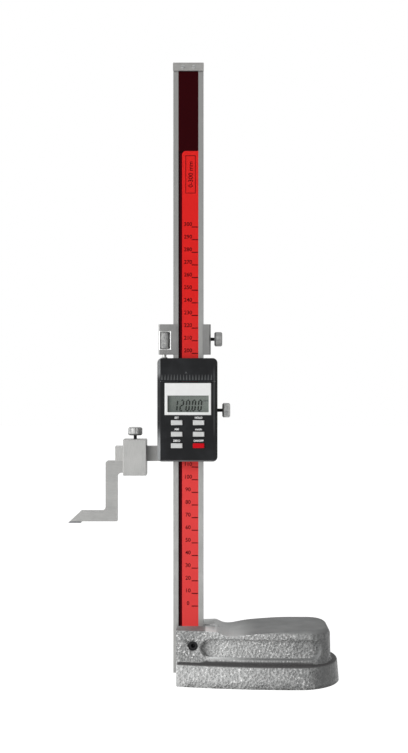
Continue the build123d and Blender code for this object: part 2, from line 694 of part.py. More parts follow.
def build_scriber_clamp():
    """A box that slides along the arm and holds the scriber under it."""
    box = block(CLAMP_LEFT, CLAMP_RIGHT, -CLAMP_HALF_DEPTH, CLAMP_HALF_DEPTH,
                CLAMP_BOTTOM, CLAMP_TOP)
    box = chamfer(box.edges(), 0.5)
    half_depth = ARM_HALF_DEPTH + SLIDE_GAP
    box -= block(CLAMP_LEFT - 1, CLAMP_RIGHT + 1, -half_depth, half_depth,
                 SHANK_BOTTOM - SLIDE_GAP, ARM_TOP + SCREW_ROOM)
    clamp_x = (CLAMP_LEFT + CLAMP_RIGHT) / 2
    return box - pin_z(ARM_TOP, CLAMP_TOP + 1, clamp_x, 0, SHANK_DIAMETER + 2 * SCREW_FIT)


def build_scriber():
    """The Z-shaped scriber, its toe cut to a slope and rebated for the carbide."""
    right = SCRIBER_LEFT + SCRIBER_LEG
    sole = EDGE_HEIGHT + CARBIDE_THICKNESS
    instep = sole + SCRIBER_FOOT
    toe = SCRIBER_TIP + CARBIDE_THICKNESS * TOE_SLOPE
    toe_run = SCRIBER_FOOT * TOE_SLOPE
    points = ((SCRIBER_LEFT, SHANK_TOP), (SCRIBER_END, SHANK_TOP), (SCRIBER_END, SHANK_BOTTOM),
              (right, SHANK_BOTTOM), (right, sole), (toe, sole),
              (toe + toe_run, instep), (SCRIBER_LEFT, instep))
    scriber = side_plate(points, SCRIBER_HALF_DEPTH)
    uprights = scriber.edges().filter_by(Axis.Y)
    bends = [edge for edge in uprights
             if (abs(edge.center().X - right) < 0.1 and abs(edge.center().Z - SHANK_BOTTOM) < 0.1)
             or (abs(edge.center().X - SCRIBER_LEFT) < 0.1 and abs(edge.center().Z - instep) < 0.1)]
    corners = [edge for edge in uprights
               if (abs(edge.center().X - SCRIBER_LEFT) < 0.1
                   and abs(edge.center().Z - SHANK_TOP) < 0.1)]
    scriber = fillet(bends, SCRIBER_BEND)
    outer = [edge for edge in scriber.edges().filter_by(Axis.Y)
             if abs(edge.center().X - corners[0].center().X) < 0.1
             and abs(edge.center().Z - corners[0].center().Z) < 0.1]
    return chamfer(outer, 1.1)


def build_carbide_tip():
    """The brazed carbide tile along the sole, ground to the scribing edge."""
    top = EDGE_HEIGHT + CARBIDE_THICKNESS
    back = SCRIBER_TIP + CARBIDE_LENGTH
    points = ((SCRIBER_TIP, EDGE_HEIGHT), (back, EDGE_HEIGHT), (back, top),
              (SCRIBER_TIP + CARBIDE_THICKNESS * TOE_SLOPE, top))
    return side_plate(points, SCRIBER_HALF_DEPTH)


# ---------------------------------------------------------------- all pieces

def build_all():
    pieces = {
        "base": build_base(),
        "base_clamp_screw": build_base_clamp_screw(),
        "beam": build_beam(),
        "scale_grid": scale_strip(LABEL_THICKNESS, GRID_THICKNESS),
        "scale_label": scale_strip(0, LABEL_THICKNESS),
        "stop_plate": build_stop_plate(),
        "stop_screws": build_stop_screws(),
        "slider_frame": build_slider_frame(),
        "slider_gib": gib(SLIDE_BOTTOM + 3, SLIDE_TOP - 3),
        "gib_screws": build_gib_screws(),
        "head_housing": build_head_housing(),
        "housing_screws": build_case_screws(),
        "battery_cover": build_battery_cover(),
        "button_cell": build_button_cell(),
        "cell_contact": build_cell_contact(),
        "lcd_bezel": build_bezel(),
        "lcd_window": lcd_slab(CASE_FRONT + 0.1, CASE_FRONT + 0.7, 0),
        "lcd_panel": build_lcd_panel(),
        "lcd_contact_strips": build_lcd_contact_strips(),
        "main_board": build_main_board(),
        "keypad_mat": build_keypad_mat(),
        "sensor_board": build_sensor_board(),
        "board_connector": build_board_connector(),
        "head_lock_screw": build_head_lock_screw(),
        "fine_rod": build_fine_rod(),
        "fine_clamp": build_fine_clamp(),
        "fine_gib": gib(FINE_BOTTOM + 1.5, FINE_TOP - 1.5),
        "fine_nut": build_fine_nut(),
        "fine_lock_screw": build_fine_lock_screw(),
        "scriber_clamp": build_scriber_clamp(),
        "scriber_clamp_screw": build_scriber_clamp_screw(),
        "scriber": build_scriber(),
        "carbide_tip": build_carbide_tip(),
    }
    rows = ("top", "middle", "bottom")
    columns = ("left", "right")
    names = [f"{row}_{column}_button" for row in rows for column in columns]
    for name, (x, z) in zip(names, button_places()):
        pieces[name] = build_button(x, z)
    return pieces


for piece_name, piece in build_all().items():
    if isinstance(piece, list):
        piece = Compound(children=piece)
    save(piece_name, piece)
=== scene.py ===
import math

import bmesh
import bpy
from bpy.props import (FloatProperty, FloatVectorProperty, IntProperty, PointerProperty,
                       StringProperty)
from mathutils import Matrix, Vector


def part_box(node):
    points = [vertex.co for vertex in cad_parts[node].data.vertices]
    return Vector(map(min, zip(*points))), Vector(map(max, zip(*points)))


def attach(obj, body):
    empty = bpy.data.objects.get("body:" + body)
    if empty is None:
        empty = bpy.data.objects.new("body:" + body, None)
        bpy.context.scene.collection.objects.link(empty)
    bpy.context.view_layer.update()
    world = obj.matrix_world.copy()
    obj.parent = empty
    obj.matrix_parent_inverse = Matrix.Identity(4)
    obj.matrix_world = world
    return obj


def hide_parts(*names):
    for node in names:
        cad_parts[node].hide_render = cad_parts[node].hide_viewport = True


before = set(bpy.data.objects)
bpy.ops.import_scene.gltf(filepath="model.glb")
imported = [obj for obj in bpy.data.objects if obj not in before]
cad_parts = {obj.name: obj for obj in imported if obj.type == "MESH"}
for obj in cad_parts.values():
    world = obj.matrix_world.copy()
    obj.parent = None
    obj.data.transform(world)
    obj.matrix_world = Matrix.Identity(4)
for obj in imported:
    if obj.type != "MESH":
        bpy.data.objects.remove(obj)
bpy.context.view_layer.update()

bl_info = {
    "name": "Digital height gauge",
    "version": (1, 0, 0),
    "blender": (4, 5, 0),
    "location": "View3D > Sidebar > Height gauge",
    "description": "Finishes, print, display and legends of a digital height gauge, and its stage",
    "category": "Object",
}

MM = 0.001
KNOB_LENGTH = 6.2 * MM
THREAD_PITCH = 0.5          # of the thumb screws, in millimetres
INK_THICKNESS = 0.02 * MM

# Edges flatter than this many degrees are shaded smooth.
CASTING_ANGLE = 50
KEY_ANGLE = 40
TURNED_ANGLE = 30

WHITE = (1.0, 1.0, 1.0, 1.0)


# ---------------------------------------------------------------- node trees

class Wire:
    """An output socket. Arithmetic on it adds Math nodes to its tree."""

    def __init__(self, graph, socket):
        self.graph = graph
        self.socket = socket

    def math(self, operation, first, second=0.0):
        return self.graph.node("ShaderNodeMath", {"operation": operation}, {0: first, 1: second})

    def __add__(self, other):
        return self.math("ADD", self, other)

    __radd__ = __add__

    def __sub__(self, other):
        return self.math("SUBTRACT", self, other)

    def __rsub__(self, other):
        return self.math("SUBTRACT", other, self)

    def __mul__(self, other):
        return self.math("MULTIPLY", self, other)

    __rmul__ = __mul__

    def __truediv__(self, other):
        return self.math("DIVIDE", self, other)

    def __pow__(self, other):
        return self.math("POWER", self, other)

    def absolute(self):
        return self.math("ABSOLUTE", self)

    def sine(self):
        return self.math("SINE", self)

    def smallest(self, other):
        return self.math("MINIMUM", self, other)

    def largest(self, other):
        return self.math("MAXIMUM", self, other)

    def rise(self, low, high):
        """0 below low, 1 above high, and smooth between."""
        return self.graph.node("ShaderNodeMapRange", {"interpolation_type": "SMOOTHSTEP"},
                               {"Value": self, "From Min": low, "From Max": high})

    def fall(self, low, high):
        return 1.0 - self.rise(low, high)


class Graph:
    """One node tree. node() is the only place that makes nodes."""

    def __init__(self, tree):
        self.tree = tree

    def node(self, kind, settings=None, sockets=None, output=0):
        made = self.tree.nodes.new(kind)
        for name, value in (settings or {}).items():
            setattr(made, name, value)
        for key, value in (sockets or {}).items():
            if isinstance(value, Wire):
                self.tree.links.new(value.socket, made.inputs[key])
            else:
                made.inputs[key].default_value = value
        if not made.outputs:
            return made
        return Wire(self, made.outputs[output])

    def seen(self):
        """1 for rays from the camera and for those that a mirror or glass passes on, else 0."""
        camera, glossy, clear = (self.node("ShaderNodeLightPath", output=name)
                                 for name in ("Is Camera Ray", "Is Glossy Ray",
                                              "Is Transmission Ray"))
        return camera.largest(glossy).largest(clear)


def linear(colour):
    """A screen colour (0 to 255) as the linear colour that shaders use, with alpha."""
    parts = [part / 255 for part in colour]
    return tuple(part / 12.92 if part <= 0.04045 else ((part + 0.055) / 1.055) ** 2.4
                 for part in parts) + (1.0,)


def scaled(colour, share):
    """A linear colour made darker or lighter, and opaque."""
    return tuple(part * share for part in colour[:3]) + (1.0,)


class Finish(Graph):
    """A material on Object coordinates, in millimetres."""

    def __init__(self, name):
        self.material = bpy.data.materials.new(name)
        self.material.use_nodes = True
        super().__init__(self.material.node_tree)
        self.tree.nodes.clear()

    def point(self, stretch=(1.0, 1.0, 1.0)):
        """The place on the object in millimetres, stretched for a grain."""
        coordinates = self.node("ShaderNodeTexCoord", output="Object")
        scale = tuple(part / MM for part in stretch)
        return self.node("ShaderNodeVectorMath", {"operation": "MULTIPLY"},
                         {0: coordinates, 1: scale})

    def axes(self):
        """x, y and z in millimetres."""
        place = self.point()
        return [self.node("ShaderNodeSeparateXYZ", {}, {0: place}, output=index)
                for index in range(3)]

    def noise(self, size, detail=2.0, stretch=(1.0, 1.0, 1.0)):
        """Noise whose blobs are about size millimetres."""
        return self.node("ShaderNodeTexNoise", {},
                         {"Vector": self.point(stretch), "Scale": 1.0 / size,
                          "Detail": detail, "Roughness": 0.5})

    def mix(self, factor, low, high):
        """A colour between low and high, which are linear colours or links."""
        return self.node("ShaderNodeMix", {"data_type": "RGBA"}, {0: factor, 6: low, 7: high},
                         output=2)

    def bump(self, height, distance, strength):
        """A normal from a height of 0 to 1, that stands for distance millimetres."""
        return self.node("ShaderNodeBump", {}, {"Height": height, "Distance": distance * MM,
                                                "Strength": strength})

    def surface(self, **sockets):
        """Ends the material in one principled surface."""
        names = {key.replace("_", " ").title().replace("Ior", "IOR"): value
                 for key, value in sockets.items()}
        shader = self.node("ShaderNodeBsdfPrincipled", {}, names)
        self.node("ShaderNodeOutputMaterial", {}, {"Surface": shader})
        return self.material


# ---------------------------------------------------------------- finishes

# Soft borders of the paint, in millimetres: where each begins and where it ends. All but the last
# bound the painted shade, sheen and glints.
LEDGE_TOP = (19.0, 21.0)
BOSS_FOOT = (17.0, 18.0)
BOSS_RIGHT = (6.0, 20.0)
BEAM_FRONT = (-4.0, -2.0)
BEAM_RIGHT = (12.6, 14.2)
PALM_SHEEN = (12.0, 56.0)
SHADED_LENGTH = (26.0, 100.0)
SHADED_END = (92.0, 100.0)
PAINTED_GLINTS_END = (96.0, 100.0)
POOLED_END = (80.0, 106.0)


def hammered_paint(settings):
    """Hammered silver-grey paint on the casting: dimples on its sides, flat on level faces, with
    painted shade, a painted sheen and painted glints in its colour.
    """
    finish = Finish("hammered_paint")
    x, y, z = finish.axes()
    place = finish.point()
    wander = finish.node("ShaderNodeTexNoise", {},
                         {"Vector": place, "Scale": 0.6, "Detail": 2.0}, output=1)
    warped = finish.node("ShaderNodeVectorMath", {"operation": "MULTIPLY_ADD"},
                         {0: wander, 1: (1.6, 1.6, 1.6), 2: place})
    cells = finish.node("ShaderNodeTexVoronoi", {"feature": "SMOOTH_F1"},
                        {"Vector": warped, "Scale": 1.0 / settings.dimple_size,
                         "Smoothness": 0.3})
    facing = finish.node("ShaderNodeNewGeometry", output="Normal")
    upward = finish.node("ShaderNodeSeparateXYZ", {}, {0: facing}, output=2)
    level = upward.rise(0.3, 0.75)
    flow = finish.noise(16.0)
    flakes = finish.noise(0.6)
    pooled = x.rise(*POOLED_END) * flow.rise(0.35, 0.6)
    upright = (1.0 - level * 0.9) * (1.0 - pooled * 0.7)
    shelf = level * z.fall(*LEDGE_TOP)
    palm = level * (1.0 - shelf)

    mottle = (cells - 0.4) * 0.32 + (flakes - 0.5) * 0.5
    # Painted shade: the boss is darker, and the side grows darker towards the far end, most on the
    # end itself.
    boss = x.fall(*BOSS_RIGHT) * z.rise(*BOSS_FOOT)
    shade = boss * 0.26 + x.rise(*SHADED_LENGTH) * 0.24 + x.rise(*SHADED_END) * 0.16
    side = finish.mix(0.52 + mottle * upright - shade, linear((80, 81, 81)),
                      linear((234, 235, 234)))
    # Painted glints: near-white specks on the ridges of the dimples, none on the far end.
    glints = finish.noise(1.3).rise(0.51, 0.64)
    painted_glints = cells.rise(0.44, 0.62) * glints * flow.rise(0.3, 0.6) * upright
    side = finish.mix(painted_glints * x.fall(*PAINTED_GLINTS_END), side, linear((250, 250, 249)))
    # Painted sheen and shade on the level faces: light near the beam, darker towards the far end.
    smooth = finish.mix(x.rise(*PALM_SHEEN) * 0.8 + flow * 0.2, linear((252, 253, 252)),
                        linear((104, 105, 105)))
    # Painted shade: the level ledge low on the casting and the palm just in front of the beam are
    # painted dark grey.
    shade_before_beam = palm * y.fall(*BEAM_FRONT) * x.fall(*BEAM_RIGHT)
    colour = finish.mix(shelf.largest(shade_before_beam * 0.8), finish.mix(palm, side, smooth),
                        linear((76, 75, 75)))
    height = cells * 0.75 + flakes * 0.25
    return finish.surface(base_color=colour, specular_ior_level=0.35,
                          roughness=0.25 + level * 0.35 + flakes * 0.1,
                          normal=finish.bump(height * upright, 1.5, 0.9))


def ground_steel(name, colour, grain, roughness=0.34, painted_shade=None, shade_share=0.62):
    """Ground steel, with a fine grain along one axis and a little cloudiness.

    Of the last two arguments, the first gives where shade is painted on the steel, from 0 to 1,
    as a function of x, y and z, and the second what is left of its colour there.
    """
    finish = Finish(name)
    stretch = tuple(0.04 if axis == grain else 1.0 for axis in "xyz")
    lines = finish.noise(0.22, 3.0, stretch)
    cloud = finish.noise(14.0)
    base = linear(colour)
    tone = lines * 0.55 + cloud * 0.45
    ground = finish.mix(tone.rise(0.25, 0.7), scaled(base, 0.72), base)
    # Painted shade: the steel is darker where that function says.
    if painted_shade:
        ground = finish.mix(painted_shade(*finish.axes()), ground, scaled(base, shade_share))
    return finish.surface(base_color=ground, metallic=0.5,
                          roughness=roughness - 0.08 + lines * 0.16,
                          normal=finish.bump(lines, 0.01, 0.5))


# The window of the fine adjustment clamp, in millimetres.
WINDOW_LEFT, WINDOW_RIGHT = -22.4, -14.6
WINDOW_LOW, WINDOW_HIGH = 260.9, 274.0
WINDOW_RIM = 0.7
CLAMP_FRONT = (-3.8, -3.6)
WINDOW_DEPTH = (-3.2, -2.2)


def milled_clamp(colour):
    """The clamp's steel, with a painted highlight round its window and on its left edge, and
    painted shade inside the window.
    """
    finish = Finish("milled_clamp")
    x, y, z = finish.axes()
    lines = finish.noise(0.22, 3.0, (1.0, 1.0, 0.04))
    cloud = finish.noise(10.0)
    base = linear(colour)
    ground = finish.mix((lines * 0.5 + cloud * 0.5).rise(0.25, 0.7), scaled(base, 0.8), base)
    across = ((x - (WINDOW_LEFT + WINDOW_RIGHT) / 2).absolute()
              - (WINDOW_RIGHT - WINDOW_LEFT) / 2)
    along = (z - (WINDOW_LOW + WINDOW_HIGH) / 2).absolute() - (WINDOW_HIGH - WINDOW_LOW) / 2
    outside = across.largest(along)
    # Painted highlight: a near-white rim round the window on the clamp's front.
    rim_highlight = (outside.rise(-0.05, 0.05) * outside.fall(WINDOW_RIM, WINDOW_RIM + 0.12)
           * y.fall(*CLAMP_FRONT))
    # Painted highlight: the clamp's left edge is lighter.
    corner = x.fall(WINDOW_LEFT - 0.9, WINDOW_LEFT - 0.3)
    # Painted shade: the faces inside the window are near black.
    recess = outside.fall(0.02, 0.08) * y.rise(*WINDOW_DEPTH)
    edge_highlight = finish.mix(corner * 0.4, ground, linear((212, 212, 210)))
    shaded = finish.mix(recess, edge_highlight, linear((34, 34, 35)))
    return finish.surface(base_color=finish.mix(rim_highlight, shaded, linear((250, 250, 249))),
                          metallic=0.45, roughness=0.3 + lines * 0.16,
                          normal=finish.bump(lines, 0.01, 0.5))


def plated(finish, painted_brightness=1.0):
    """The clouded colour of nickel plate, made lighter or darker by a painted brightness that
    stands in for light and shade, and how rough it is.
    """
    smear = finish.noise(2.4, 3.0)
    dark, light = (linear(tuple(part * painted_brightness for part in tone))
                   for tone in ((150, 151, 151), (184, 184, 182)))
    return finish.mix(smear.rise(0.3, 0.75), dark, light), 0.36 + smear * 0.14


def bright_plating():
    """Nickel plate on the rod and small screws, slightly clouded by handling."""
    finish = Finish("bright_plating")
    colour, roughness = plated(finish)
    return finish.surface(base_color=colour, metallic=0.6, roughness=roughness)


def matt_plating():
    """Matt nickel plate on the adjustment nut, with painted shade darkening its ends."""
    finish = Finish("matt_plating")
    colour, roughness = plated(finish)
    low, high = (corner[2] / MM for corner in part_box("fine_nut"))
    z = finish.axes()[2]
    ends = z.fall(low + 0.1, low + 0.7).largest(z.rise(high - 0.7, high - 0.1))
    # Painted shade at both ends of the nut.
    colour = finish.mix(ends * 0.75, colour, linear((58, 58, 59)))
    return finish.surface(base_color=colour, metallic=0.2, specular_ior_level=0.2,
                          roughness=roughness + 0.15)


def screw_plating(name, axis, face, painted_brightness):
    """A plated knob with painted shade on its inner rim. Below face, along axis, is its thread,
    painted dark as shade, its grooves darker than its crests.
    """
    finish = Finish(name)
    along = finish.axes()["xyz".index(axis)]
    colour, roughness = plated(finish, painted_brightness)
    shank = along.fall(face - 0.15, face + 0.05)
    # Painted shade: the thread is near black, darker in its grooves than on its crests.
    thread = (along * (2 * math.pi / THREAD_PITCH)).sine()
    dark = finish.mix(thread.rise(-1.0, 1.0), linear((14, 14, 15)), linear((52, 52, 53)))
    # Painted shade on the knob's inner rim, next to the thread.
    rim = along.fall(face + 1.0, face + 1.6)
    colour = finish.mix(rim * 0.8, colour, linear((62, 62, 63)))
    return finish.surface(base_color=finish.mix(shank, colour, dark), metallic=0.35,
                          specular_ior_level=0.2, roughness=roughness + 0.12 + shank * 0.12,
                          normal=finish.bump(thread * shank * 0.5, 0.18, 0.9))


def black_oxide():
    """Oiled black oxide on the socket head and set screws."""
    finish = Finish("black_oxide")
    smear = finish.noise(0.8, 3.0)
    colour = finish.mix(smear, linear((18, 18, 20)), linear((40, 40, 43)))
    return finish.surface(base_color=colour, metallic=0.6, roughness=0.3 + smear * 0.2)


# Where highlights are painted on the housing, in millimetres. UPPER_BEVEL and RIGHT_LINE_MIDDLE are
# heights above the floor, and the others are measured from the housing's own faces.
BEVEL_WIDTH, BEVEL_DEPTH = 2.3, 3.1
UPPER_BEVEL = (236.0, 243.0)
LOWER_BEVEL = (12.0, 30.0)
LOWER_EDGE = (0.9, 1.5)
EDGE_DEPTH = (1.5, 2.5)
RIGHT_LINE = 2.7
RIGHT_LINE_MIDDLE, RIGHT_LINE_HALF = 220.0, (18.0, 30.0)


def moved(distance, border):
    """A soft border moved along its axis."""
    return tuple(distance + part for part in border)


def moulded_black(settings):
    """The satin black moulding of the head, with paler painted highlights on its left front bevel,
    beside its right edge and along its lower edge.
    """
    finish = Finish("moulded_black")
    x, y, z = finish.axes()
    grain = finish.noise(0.16)
    cloud = finish.noise(11.0)
    base = tuple(settings.housing_colour) + (1.0,)
    near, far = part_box("head_housing")
    left, front, foot = (part / MM for part in near)
    right = far[0] / MM
    bevel = (x.fall(left + BEVEL_WIDTH, left + BEVEL_WIDTH + 0.3)
             * (y - (front + BEVEL_DEPTH)).fall(-0.3, 0.0))
    ends = z.rise(*UPPER_BEVEL) * 0.7 + z.fall(*moved(foot, LOWER_BEVEL))
    right_line = ((x - (right - RIGHT_LINE)).absolute().fall(0.1, 0.35)
                  * (z - RIGHT_LINE_MIDDLE).absolute().fall(*RIGHT_LINE_HALF))
    lower = z.fall(*moved(foot, LOWER_EDGE)) * y.fall(*moved(front, EDGE_DEPTH))
    # Painted highlights: pale grey on the left bevel near its top and foot, a line beside the right
    # edge, and along the lower front edge.
    painted_highlights = (bevel * ends * 0.8).largest(right_line * 0.35).largest(lower * 0.5)
    colour = finish.mix(painted_highlights * (0.55 + cloud * 0.45),
                        finish.mix(cloud.rise(0.35, 0.8), base, scaled(base, 1.7)),
                        linear((158, 160, 161)))
    return finish.surface(base_color=colour, specular_ior_level=0.12,
                          roughness=0.3 + grain * 0.16, normal=finish.bump(grain, 0.02, 0.35))


def moulding(name, colour, roughness, gloss=0.2):
    """A plain moulding with a faint flow of colour."""
    finish = Finish(name)
    cloud = finish.noise(3.0)
    grain = finish.noise(0.2, 1.0)
    base = linear(colour)
    return finish.surface(base_color=finish.mix(cloud, scaled(base, 0.93), base),
                          specular_ior_level=gloss, roughness=roughness + grain * 0.08,
                          normal=finish.bump(grain, 0.006, 0.4))


# The printed label, in millimetres.
RED_CORNER_RADIUS = 3.0
GROUND_LIGHTENS = (-7.4, -6.0)
RED_DEEPENS = (150.0, 320.0)


def printed_scale(settings):
    """The printed label: a red field with a round corner, on a dark ground, with painted light on
    the ground and painted shade that deepens the red upward.
    """
    finish = Finish("printed_scale")
    x, _, z = finish.axes()
    edge = settings.red_left / MM
    top = settings.red_top / MM
    radius = RED_CORNER_RADIUS
    across = (x - (edge + radius)).smallest(0.0)
    along = (z - (top - radius)).largest(0.0)
    from_corner = (across * across + along * along) ** 0.5
    field = from_corner.fall(radius - 0.06, radius + 0.06)
    ink_film = finish.noise(0.35)
    # Painted light: the dark ground is lighter beside the red field's edge and above its top.
    lighter = x.rise(*GROUND_LIGHTENS).smallest(z.fall(top - 2.0, top - 1.0)) * 0.85
    ground = finish.mix(lighter.largest(z.rise(top - 1.0, top) * 0.35), linear((6, 1, 2)),
                        linear((70, 0, 8)))
    low_red, high_red = (tuple(red) + (1.0,) for red in (settings.red_low, settings.red_high))
    # Painted shade: the red is darker the higher it goes.
    red = finish.mix(z.rise(*RED_DEEPENS), low_red, high_red)
    return finish.surface(base_color=finish.mix(field, ground, red), specular_ior_level=0.04,
                          roughness=0.4 + ink_film * 0.1,
                          normal=finish.bump(ink_film, 0.004, 0.3))


def ink(name, colour, roughness=0.45):
    """Screen-printed ink, a little uneven."""
    finish = Finish(name)
    cover = finish.noise(0.5)
    base = linear(colour)
    thin = tuple(min(part * 1.25 + 0.004, 1.0) for part in base[:3]) + (1.0,)
    return finish.surface(base_color=finish.mix(cover.rise(0.4, 0.8), base, thin),
                          specular_ior_level=0.05, roughness=roughness + cover * 0.08)


def display_glass():
    """The reflective grey-green cell of the display, darker towards the lower left."""
    finish = Finish("display_glass")
    x, _, z = finish.axes()
    left, low, width, height = -16.0, 211.0, 32.0, 13.0
    shade = ((x - left) / width + (z - low) / height) * 0.5
    speckle = finish.noise(0.12, 1.0)
    colour = finish.mix(shade.rise(0.0, 1.0) * 0.8 + speckle * 0.2, linear((94, 101, 96)),
                        linear((128, 135, 129)))
    return finish.surface(base_color=colour, specular_ior_level=0.25,
                          roughness=0.35 + speckle * 0.1)


def clear_window():
    """The clear cover of the display."""
    finish = Finish("clear_window")
    smear = finish.noise(5.0, 3.0)
    return finish.surface(base_color=linear((120, 124, 122)), specular_ior_level=0.3,
                          roughness=0.05 + smear * 0.08, alpha=0.06)


def laminate():
    """Green board laminate with faint tracks under the lacquer."""
    finish = Finish("board_laminate")
    weave = finish.noise(0.4)
    tracks = finish.node("ShaderNodeTexBrick", {"offset": 0.5},
                         {"Vector": finish.point((0.35, 0.35, 0.35)), "Mortar Size": 0.06},
                         output=1)
    base = finish.mix(weave, linear((28, 84, 50)), linear((38, 104, 62)))
    return finish.surface(base_color=finish.mix(tracks * 0.6, base, linear((66, 132, 84))),
                          roughness=0.3 + weave * 0.15)


def soft_rubber():
    """Dark moulded rubber."""
    finish = Finish("soft_rubber")
    grain = finish.noise(0.3)
    return finish.surface(base_color=finish.mix(grain, linear((44, 45, 46)),
                                                linear((62, 63, 64))),
                          roughness=0.62 + grain * 0.15, normal=finish.bump(grain, 0.02, 0.4))


# ---------------------------------------------------------------- mesh helpers

POINT_MERGE = 0.002 * MM
CAPITAL_SHARE = 0.7         # height of a capital letter as a share of the font's size


def cad_object(node):
    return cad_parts[node]


def dress(material, *nodes):
    """Gives whole CAD nodes one material."""
    for node in nodes:
        mesh = cad_object(node).data
        mesh.materials.clear()
        mesh.materials.append(material)


def add_piece(name, mesh, material, body):
    """Puts a finished mesh in the scene, on a body."""
    mesh.materials.clear()
    mesh.materials.append(material)
    piece = bpy.data.objects.new(name, mesh)
    bpy.context.scene.collection.objects.link(piece)
    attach(piece, body)
    return piece


def smooth_piece(node, material, body, angle):
    """Replaces a CAD node by a copy with merged points, smooth over edges flatter than angle."""
    mesh = cad_object(node).data.copy()
    mesh.name = node + "_smooth"
    shell = bmesh.new()
    shell.from_mesh(mesh)
    bmesh.ops.remove_doubles(shell, verts=shell.verts, dist=POINT_MERGE)
    shell.to_mesh(mesh)
    shell.free()
    mesh.shade_smooth()
    mesh.set_sharp_from_angle(angle=math.radians(angle))
    piece = add_piece(node + "_smooth", mesh, material, body)
    piece.modifiers.new("flat_faces", "WEIGHTED_NORMAL").keep_sharp = True
    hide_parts(node)
    return piece


def face_forward(x, y, z, turn=0.0):
    """The matrix that stands a flat shape from the XY plane upright at x, y, z, facing -Y.

    turn first turns it in its own plane, in degrees.
    """
    return (Matrix.Translation((x, y, z)) @ Matrix.Rotation(math.radians(90), 4, "X")
            @ Matrix.Rotation(math.radians(turn), 4, "Z"))


def letters(words, height, thickness, boldness=0.0):
    """A mesh of words, with capitals of that height, drawn in the XY plane."""
    curve = bpy.data.curves.new("letters", "FONT")
    curve.body = words
    curve.align_x = "CENTER"
    curve.size = height / CAPITAL_SHARE
    curve.extrude = thickness / 2
    curve.offset = boldness
    curve.resolution_u = 3
    holder = bpy.data.objects.new("letters", curve)
    bpy.context.scene.collection.objects.link(holder)
    graph = bpy.context.evaluated_depsgraph_get()
    mesh = bpy.data.meshes.new_from_object(holder.evaluated_get(graph))
    bpy.data.objects.remove(holder)
    bpy.data.curves.remove(curve)
    return mesh


def rectangle(left, low, right, high):
    """The (x, z) corners of a rectangle."""
    return [(left, low), (right, low), (right, high), (left, high)]


class Collector:
    """Joins placed meshes and flat plates into one mesh."""

    def __init__(self):
        self.shell = bmesh.new()

    def add(self, mesh, matrix):
        mesh.transform(matrix)
        self.shell.from_mesh(mesh)
        bpy.data.meshes.remove(mesh)

    def plate(self, outline, front, back):
        """A closed plate with that outline of (x, z) points, which may run either way round."""
        near = [self.shell.verts.new((x, front, z)) for x, z in outline]
        far = [self.shell.verts.new((x, back, z)) for x, z in outline]
        faces = [self.shell.faces.new(near), self.shell.faces.new(far[::-1])]
        for index in range(len(outline)):
            following = (index + 1) % len(outline)
            faces.append(self.shell.faces.new((near[index], far[index], far[following],
                                               near[following])))
        bmesh.ops.recalc_face_normals(self.shell, faces=faces)

    def mesh(self, name):
        made = bpy.data.meshes.new(name)
        self.shell.to_mesh(made)
        self.shell.free()
        return made


# ---------------------------------------------------------------- settings

def length(name, description, default):
    """A setting in scene units."""
    return FloatProperty(name=name, description=description, default=default, unit="LENGTH")


def tint(name, description, default):
    """A colour setting."""
    return FloatVectorProperty(name=name, description=description, default=default,
                               subtype="COLOR", size=3)


class GaugeFinishSettings(bpy.types.PropertyGroup):
    dimple_size: FloatProperty(
        name="Dimple size", description="Size of the dimples in the hammered paint, in millimetres",
        default=1.9, min=0.2)
    housing_colour: tint("Housing", "Colour of the head's moulding", (0.012, 0.0125, 0.0135))
    steel_colour: FloatVectorProperty(
        name="Steel", description="Screen colour of the ground steel, 0 to 255",
        default=(186, 186, 184), size=3)


class GaugeScaleSettings(bpy.types.PropertyGroup):
    zero_height: length("Zero height", "Height of the zero tick above the foot", 0.0573)
    pitch: length("Pitch", "Distance between two ticks", 0.010)
    count: IntProperty(name="Ticks", description="How many ticks the scale has",
                       default=31, min=1)
    tick_left: length("Tick start", "Left end of each tick", 0.0026)
    tick_right: length("Tick end", "Right end of each tick", 0.0076)
    tick_width: length("Tick width", "Width of each tick's line", 0.00072)
    number_height: length("Number height", "Height of the printed numbers", 0.0030)
    print_depth: length("Print depth", "How far the ink stands out of the label", 0.00002)
    red_left: length("Red edge", "Left edge of the red field", -0.0050)
    red_top: length("Red top", "Top edge of the red field", 0.4175)
    red_high: tint("Red, high", "Colour of the upper part of the red field",
                   (0.71, 0.019, 0.017))
    red_low: tint("Red, low", "Colour of the lower part of the red field",
                  (0.80, 0.062, 0.060))


class GaugeDisplaySettings(bpy.types.PropertyGroup):
    reading: StringProperty(
        name="Reading", description="What the display shows: digits and one point",
        default="120.00")
    digit_height: length("Digit height", "Height of the digits", 0.0094)
    digit_width: length("Digit width", "Width of one digit", 0.0034)
    digit_pitch: length("Digit pitch", "Distance between two digits", 0.0047)
    slant: FloatProperty(name="Slant", default=0.10,
                         description="Lean of the digits, as a share of their height")


class GaugeStageSettings(bpy.types.PropertyGroup):
    floor_size: length("Floor size", "Width of the floor", 8.0)
    key_power: FloatProperty(name="Key light", default=28.0,
                             description="Power of the large light on the left, in watts")
    fill_power: FloatProperty(name="Fill light", default=1.0,
                              description="Power of the light on the right, in watts")
    camera_height: length("Camera height", "Height of the camera above the floor", 0.239)
    camera_distance: length("Camera distance", "Distance from the camera to the beam", 0.8005)


# ---------------------------------------------------------------- pieces

class GaugePiece:
    """What every operator of this file shares."""

    bl_options = {"REGISTER", "UNDO"}

    def execute(self, context):
        self.make(context.scene)
        return {"FINISHED"}


class GAUGE_OT_base_casting(GaugePiece, bpy.types.Operator):
    """Paint the base casting and finish the screw that clamps the beam in it"""

    bl_idname = "gauge.base_casting"
    bl_label = "Base casting"

    def make(self, scene):
        paint = hammered_paint(scene.gauge_finish)
        smooth_piece("base", paint, "root", CASTING_ANGLE)
        smooth_piece("base_clamp_screw", black_oxide(), "root", TURNED_ANGLE)


